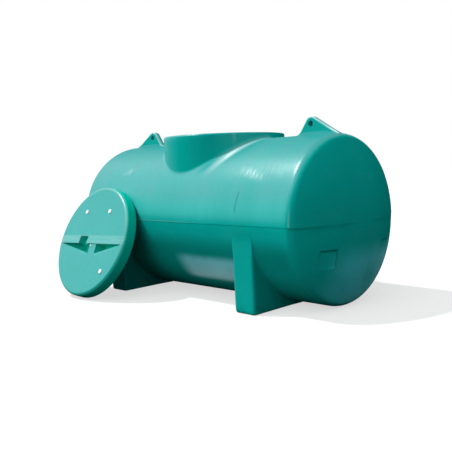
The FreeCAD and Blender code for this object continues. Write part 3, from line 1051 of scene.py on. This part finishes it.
lid = {
    "radius": 0.378,
    "thick": 0.079,
    "frontRound": 0.020,
    "boxRound": 0.012,     # the solid's own edge, which finds the lid's place from its box
    "backRound": 0.006,
    "lean": 23.3,
    "roll": 2.4,
    "barHalf": 0.0265,
    "barHeight": 0.005,
    "barLand": 0.003,
    "barFade": 0.045,      # the bar sinks into the face over this length at each end
    "pocketDrop": 0.066,
    "pocketDepth": 0.066,
    "pocketEdge": 0.0015,  # rows of the lower face are spaced to stop this far below the pocket
    "notch": (-0.127, -0.039),
    "notchEnd": (0.80, 0.99),  # share of the bar's flank over which the notch comes up to the face
    "bridge": (0.004, 0.084),
    "soft": 0.0032,        # half width of the moulded walls across the face
    "wallClear": 1.8,      # how many of those half widths other columns keep away from a wall
    "columns": 111,
    "faceSteps": 14,
    "flankSteps": 12,
    "wallSteps": 7,
    "frontRoundSteps": 9,
    "sideSteps": 8,
    "backRoundSteps": 7,
    "backSteps": 16,
    # rows up the pocket, as shares of its drop: its bank, which ends at the given share, and its floor
    "bank": (0.0, 0.02, 0.05, 0.09, 0.13, 0.18, 0.24, 0.30),
    "bankEnd": 0.22,
    "floor": (0.45, 0.62, 0.80, 0.93, 0.985),
    "rise": (0.97, 0.75, 0.45, 0.15),    # rows up the wall under the bar, as shares of the depth
    "lipUp": (0.0, 0.0, 0.0004, 0.0012, 0.0026),
    "lipOut": (0.0, 0.82, 0.95, 1.0, 1.0),
    "edgeStart": 0.06,     # radians along the rounded edge where its rings start
}
lidLow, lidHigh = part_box("lid_disc")


def lidPlace():
    # the lid's own frame (x right, y into the lid, z up its face) to the row frame, leaning on the tank
    lean, back, front = np.radians(lid["lean"]), lid["backRound"], lid["boxRound"]
    turn = Matrix.Rotation(-lean, 4, "X") @ Matrix.Rotation(np.radians(-lid["roll"]), 4, "Y")
    rise = (lid["thick"] - back) * np.sin(lean) + (lid["radius"] - back) * np.cos(lean) + back
    reach = (lid["radius"] - front) * np.sin(lean) + front - front * np.cos(lean)
    centre = Vector(((lidLow.x + lidHigh.x) / 2, lidLow.y + reach, lidLow.z + rise))
    return np.array(Matrix.Translation(centre) @ turn)


lidMatrix = lidPlace()

# limits across the lid, into it, up its face and, squared, from its middle
lidWear = {
    "under": {"inward": (0.002, 0.014, 0.070, 0.076)},
    "inside": {"fromMiddle": (0.370 ** 2, 0.355 ** 2)},
    "right": {"across": (0.05, 0.09)},
    "rightGlow": 0.85,
    "notch": {"upward": (-0.028, -0.022), "fromMiddle": (0.370 ** 2, 0.355 ** 2)},
    "tint": (0.45, 0.35),      # painted shade and light: how green it is under the face, and what the scoops add
    # painted shade over a lit wall in a nook of the notch
    "nook": {"across": (-0.15, -0.06, 0.0, 0.02), "upward": (-0.014, -0.020), "amount": 0.45},
    # painted highlight with streaky wear on the bar
    "bar": {"upward": (-0.028, -0.025, 0.022, 0.034)},
    "barAmount": (0.06, 0.13), # least, and what streaks along it add
    "streaksAt": (0.35, 0.70),
    # painted highlight along the fold above the bar
    "fold": {"upward": (0.028, 0.001, 0.005), "amount": 0.08},
    # painted highlight on the rim
    "rim": {"inward": (0.014, 0.005), "fromMiddle": (0.352 ** 2, 0.361 ** 2)},
    "rimUp": (-0.25, 0.15),    # the painted highlight on the rim is stronger above than below
    "rimBelow": 0.25,
    "rimAmount": 0.13,
    "rimSheen": 0.7,
}


def lidMarks(finish):
    # under the lid's face there is no bloom or sheen: there it is painted greener as shade, and darker as
    # painted shade in a nook of the notch;
    # its bar gets a painted highlight with streaky wear, and the fold above that and its rim get painted
    # highlights
    wear, centre, axes = lidWear, lidMatrix[:3, 3], lidMatrix[:3, :3].T
    across, inward, upward = (finish.place.along(axis.tolist()) - float(centre @ axis) for axis in axes)
    fromMiddle = across * across + upward * upward
    finish.measures.update({"across": across, "inward": inward, "upward": upward, "fromMiddle": fromMiddle})
    under, inside, right, notch, nook, bar, fold, rim = (
        finish.area(wear[key]) for key in ("under", "inside", "right", "notch", "nook", "bar", "fold", "rim")
    )
    finish.bloomAndSheen, finish.sheen = finish.bloomAndSheen * (1 - under), finish.sheen * (1 - under)
    # painted shade and light: greener under the face, lighter where daylight comes through
    level, more = wear["tint"]
    green = (right * wear["rightGlow"]).larger(notch).blend(teal["shade"], teal["glow"])
    tint = under * (level + inside.larger(right) * more)
    finish.colour = tint.blend(finish.colour, green)
    # painted shade in the nook
    finish.stain(nook * under, "shadeAndGrime")
    # painted highlight with streaky wear on the bar, and a painted highlight on the fold
    least, streaky = wear["barAmount"]
    streaks = finish.noise("streaks").between(*wear["streaksAt"])
    finish.addHighlightAndWear(bar * (1 - under) * (least + streaks * streaky))
    finish.addHighlightAndWear(fold * (1 - under))
    # painted highlight on the rim, stronger above
    rim = rim * (wear["rimBelow"] + upward.between(*wear["rimUp"]) * (1 - wear["rimBelow"]))
    finish.addHighlightAndWear(rim * wear["rimAmount"])
    finish.sheen = finish.sheen.larger(rim * wear["rimSheen"])
    finish.applyBloomAndSheen()


lidPlastic = tealPlastic("lidPlastic", lidMarks, depth=0.96, scuffed=0.30, bloomAndSheenShare=0.70)


def onLid(points):
    return points @ lidMatrix[:3, :3].T + lidMatrix[:3, 3]


def lidColumns(faceRadius):
    # places across the lid, close together at its ends and on the walls of the notch and the bridge
    first = np.arcsin(lid["barHalf"] / faceRadius)
    even = -faceRadius * np.cos(np.linspace(first, np.pi - first, lid["columns"]))
    walls = np.array(lid["notch"] + lid["bridge"])
    clear = abs(even[:, None] - walls).min(axis=1) > lid["soft"] * lid["wallClear"]
    steps = np.linspace(-1, 1, lid["wallSteps"]) * lid["soft"]
    return np.sort(np.concatenate([even[clear], (walls[:, None] + steps).ravel()]))


def lidFace(faceRadius):
    # a column at each place across: lower face, pocket, up under the bar, its crest, flank and upper face
    u = lidColumns(faceRadius)[:, None]
    soft, crest, half = lid["soft"], -lid["barHalf"], lid["barHalf"]
    bank, floor, riseShare, lipUp, lipOut = (
        np.array(lid[key])[None, :] for key in ("bank", "floor", "rise", "lipUp", "lipOut")
    )

    def inside(walls):
        return smooth(-soft, soft, u - walls[0]) - smooth(-soft, soft, u - walls[1])

    bridge, notch = inside(lid["bridge"]), inside(lid["notch"])
    left, right = lid["bridge"]
    chord = np.sqrt(faceRadius ** 2 - u ** 2)
    onLeft, onRight = (u + faceRadius) / (faceRadius + left), (faceRadius - u) / (faceRadius - right)
    share = np.clip(np.where(u < left + soft, onLeft, onRight), 0, 1)
    drop = lid["pocketDrop"] * share
    deep = lid["pocketDepth"] * share * (1 - bridge)
    bar = lid["barHeight"] * smooth(0.0, lid["barFade"], faceRadius - abs(u))

    t = np.linspace(0, 1, lid["faceSteps"], endpoint=False)[None, :]
    lowerV = -chord + (crest - drop - lid["pocketEdge"] + chord) * t
    bankV, floorV = crest - drop + drop * bank, crest - drop + drop * floor
    riseV = np.broadcast_to(crest, (u.size, riseShare.size))
    riseW = deep * (riseShare * (1 - notch) + notch)
    lipW = -bar * lipOut * (1 - notch) + deep * notch
    t = ramp(lid["flankSteps"]).T
    flankV = crest + lid["barLand"] + (half - crest - lid["barLand"]) * t
    flankW = -bar * (1 - t) * (1 - notch) + deep * (1 - smooth(*lid["notchEnd"], t)) * notch
    upperV = half + (chord - half) * ramp(lid["faceSteps"]).T
    rows = (
        (lowerV, 0 * lowerV),
        (bankV, deep * smooth(0.0, lid["bankEnd"], bank)),
        (floorV, deep + 0 * floorV),
        (riseV, riseW),
        (crest + lipUp + 0 * u, lipW),
        (flankV + 0 * u, flankW),
        (upperV, 0 * upperV),
    )
    v, w = (np.concatenate(part, axis=1) for part in zip(*rows))
    return xyz(u, w, v).transpose(1, 0, 2)


def buildLid():
    # the face's grid, then rings from its outline over the rounded edge, down the side and across the back
    front, back, disc, thick = lid["frontRound"], lid["backRound"], lid["radius"], lid["thick"]
    face = lidFace(disc - front)
    outline = perimeter(face, (0, face.shape[0] - 1), (0, face.shape[1] - 1))
    turn = np.arctan2(outline[:, 2], outline[:, 0])
    a = np.linspace(lid["edgeStart"], quarterTurn, lid["frontRoundSteps"])
    b = np.linspace(0, quarterTurn, lid["backRoundSteps"])
    side = np.linspace(front, thick - back, lid["sideSteps"])[1:-1]
    across = np.linspace(disc - back, 0, lid["backSteps"])[1:]
    r = [disc - front + front * np.sin(a), np.full(side.size, disc), disc - back + back * np.cos(b), across]
    w = [front - front * np.cos(a), side, thick - back + back * np.sin(b), np.full(across.size, thick)]
    r, w = np.concatenate(r)[:, None], np.concatenate(w)[:, None]
    rings = xyz(r * np.cos(turn), w, r * np.sin(turn))
    skin = Skin()
    skin.grid(onLid(face))
    skin.grid(onLid(np.concatenate([outline[None], rings])), closed=True)
    skin.piece("lidDisc", lidPlastic, ["lid_disc", "lid_grip_bar"])


buildLid()

caps = {
    # across the lid and up its face from its middle, and the cap's radius
    "places": ((-0.136, 0.199, 0.015), (0.136, 0.199, 0.015),
               (0.212, -0.208, 0.015), (0.022, -0.0405, 0.007)),
    "turnSteps": 40,
    "roundSteps": 6,
    "height": 0.005,
    "sunk": 0.001,         # how far its foot lies in the face
    "shoulder": 0.9,       # share of the height where its rounded edge ends
    "dome": (0.5, 0.98),   # share of the radius and of the height at one more ring
    "clean": (0.80, 0.80, 0.76, 1.0),
    "aged": (0.62, 0.58, 0.47, 1.0),
    "agedAt": (0.45, 0.75),
    "agedAmount": 0.5,
    "gloss": 0.42,
    "agedRough": 0.15,
    "texture": 0.00005,
    "textureAmount": 0.6,
}


def whiteNylon(name):
    made, place = newMaterial(name)
    stain = noise(place, "stain").between(*caps["agedAt"])
    grained = noise(place, "nylon")
    texture = {"Height": grained, "Distance": caps["texture"], "Strength": caps["textureAmount"]}
    finishMaterial(place, {"IOR": teal["index"]}, {
        "Base Color": (stain * caps["agedAmount"]).blend(caps["clean"], caps["aged"]),
        "Roughness": caps["gloss"] + stain * caps["agedRough"],
        "Normal": place.node("ShaderNodeBump", {}, texture),
    })
    return made


capNylon = whiteNylon("capNylon")


def buildCaps():
    # a low dome on a short cylinder, turned round the lid's own normal at each place
    skin = Skin()
    turn = np.linspace(0, fullTurn, caps["turnSteps"], endpoint=False)[None, :]
    a = np.linspace(0, quarterTurn, caps["roundSteps"])
    tall, sunk, e = caps["height"], caps["sunk"], caps["height"] * roundShare
    inner, upper = caps["dome"]
    edge = -tall * caps["shoulder"] + e - e * np.sin(a)
    w = np.concatenate([[sunk, sunk], edge, [-tall * upper, -tall]])[:, None]
    for u, v, radius in caps["places"]:
        r = np.concatenate([[0, radius], radius - e + e * np.cos(a), [radius * inner, 0]])[:, None]
        skin.grid(onLid(xyz(u + r * np.cos(turn), w, v + r * np.sin(turn))), closed=True)
    skin.piece("lidCaps", capNylon, ["lid_caps"])


buildCaps()
print("tank built")

stage = {
    "floorSize": 30.0,
    "floorDrop": 0.0006,
    "floorTone": (0.06, 0.065, 0.06, 1.0),     # what the floor throws back
    "floorPale": (0.9, 0.9, 0.9, 1.0),         # and what the camera sees of it
    "floorGlow": 0.62,                         # share of its own light in that, which thins the shadow
    "sunFrom": (-60.0, 57.0),                  # degrees round from the front, and up
    "sunStrength": 3.3,
    "sunAngle": 2.5,
    "fillFrom": (4.0, 42.0),
    "fillStrength": 1.1,
    "fillAngle": 60.0,
    "sideFrom": (132.0, 28.0),
    "sideStrength": 0.22,
    "sideAngle": 40.0,
    "skyTop": (0.42, 0.43, 0.44, 1.0),
    "skySun": (0.78, 0.78, 0.76, 1.0),
    "skyShade": (0.26, 0.28, 0.30, 1.0),
    "skySpread": (-0.9, 0.9),                  # from the shaded side to the sun's
    "skyRise": (0.0, 0.9),                     # from the horizon to the top
    "white": (1.0, 1.0, 1.0, 1.0),
}


def seenDirectly(wire):
    # 1 for what the camera sees itself, or sees in gloss or through glass
    path = wire.node("ShaderNodeLightPath")
    camera, glossy, through = path.others("Is Camera Ray", "Is Glossy Ray", "Is Transmission Ray")
    return camera.larger(glossy.larger(through))


def buildFloor():
    # one square, pale to the camera and dark for the light that it throws back, with the tank's shadow kept
    s, z = stage["floorSize"], -stage["floorDrop"]
    mesh = bpy.data.meshes.new("floor")
    mesh.from_pydata([(-s, -s, z), (s, -s, z), (s, s, z), (-s, s, z)], [], [(0, 1, 2, 3)])
    made = bpy.data.materials.new("floorPaint")
    wire = blankNodes(made)
    pale = wire.node("ShaderNodeBsdfDiffuse", {}, {"Color": stage["floorPale"]})
    glow = wire.node("ShaderNodeEmission", {}, {"Color": stage["white"], "Strength": 1.0})
    seen = wire.node("ShaderNodeMixShader", {}, {0: stage["floorGlow"], 1: pale, 2: glow})
    shadedChalk = wire.node("ShaderNodeBsdfDiffuse", {}, {"Color": stage["floorTone"]})
    both = wire.node("ShaderNodeMixShader", {}, {0: seenDirectly(wire), 1: shadedChalk, 2: seen})
    wire.node("ShaderNodeOutputMaterial", {}, {"Surface": both})
    mesh.materials.append(made)
    floor = addObject("floor", mesh)


def buildSky():
    # a soft dome, brighter on the sun's side; the camera sees plain white
    world = bpy.data.worlds.new("studio")
    wire = blankNodes(world)
    x, y, z = wire.node("ShaderNodeTexCoord", out="Generated").parts()
    turn = np.radians(stage["sunFrom"][0])
    sunward = (x * float(np.sin(turn)) - y * float(np.cos(turn))).between(*stage["skySpread"])
    side = sunward.blend(stage["skyShade"], stage["skySun"])
    colour = z.between(*stage["skyRise"]).blend(side, stage["skyTop"])
    dome = wire.node("ShaderNodeBackground", {}, {"Color": colour, "Strength": 1.0})
    white = wire.node("ShaderNodeBackground", {}, {"Color": stage["white"], "Strength": 1.0})
    both = wire.node("ShaderNodeMixShader", {}, {0: seenDirectly(wire), 1: dome, 2: white})
    wire.node("ShaderNodeOutputWorld", {}, {"Surface": both})
    bpy.context.scene.world = world


def addSun(name):
    turn, rise = np.radians(stage[name + "From"])
    lamp = bpy.data.lights.new(name, "SUN")
    lamp.energy, lamp.angle = stage[name + "Strength"], np.radians(stage[name + "Angle"])
    toward = Vector((np.sin(turn) * np.cos(rise), -np.cos(turn) * np.cos(rise), np.sin(rise)))
    addObject(name, lamp).rotation_euler = toward.to_track_quat("Z", "Y").to_euler()


buildFloor()
buildSky()
for lampName in ("sun", "fill", "side"):
    addSun(lampName)

# the camera, from the tank's axis on the ground under its middle
view = {
    "place": (3.0304, -2.8946, 0.8404),
    "yaw": 42.7759,
    "pitch": -4.399,
    "roll": -2.2067,
    "focal": 615.34,       # pixels of a 452 pixel frame
    "middle": (265.58, 211.06),
    "frame": 452,
    "sensor": 36.0,
}


def buildCamera():
    yaw, pitch, roll = np.radians([view["yaw"], view["pitch"], view["roll"]])
    ahead = np.array([-np.sin(yaw) * np.cos(pitch), np.cos(yaw) * np.cos(pitch), np.sin(pitch)])
    level = np.array([np.cos(yaw), np.sin(yaw), 0.0])
    above = np.cross(level, ahead)
    right = np.cos(roll) * level + np.sin(roll) * above
    up = -np.sin(roll) * level + np.cos(roll) * above
    lens = bpy.data.cameras.new("camera")
    lens.sensor_width = view["sensor"]
    lens.lens = view["focal"] * lens.sensor_width / view["frame"]
    lens.shift_x = 0.5 - view["middle"][0] / view["frame"]
    lens.shift_y = view["middle"][1] / view["frame"] - 0.5
    made = addObject("camera", lens)
    turned = Matrix(np.column_stack([right, up, -ahead]).tolist()).to_4x4()
    place = Vector(view["place"]) + Vector((0.0, tank["axisY"], 0.0))
    made.matrix_world = Matrix.Translation(place) @ turned
    bpy.context.scene.camera = made


buildCamera()
bpy.context.scene.view_settings.view_transform = "Standard"
print("stage and camera set")
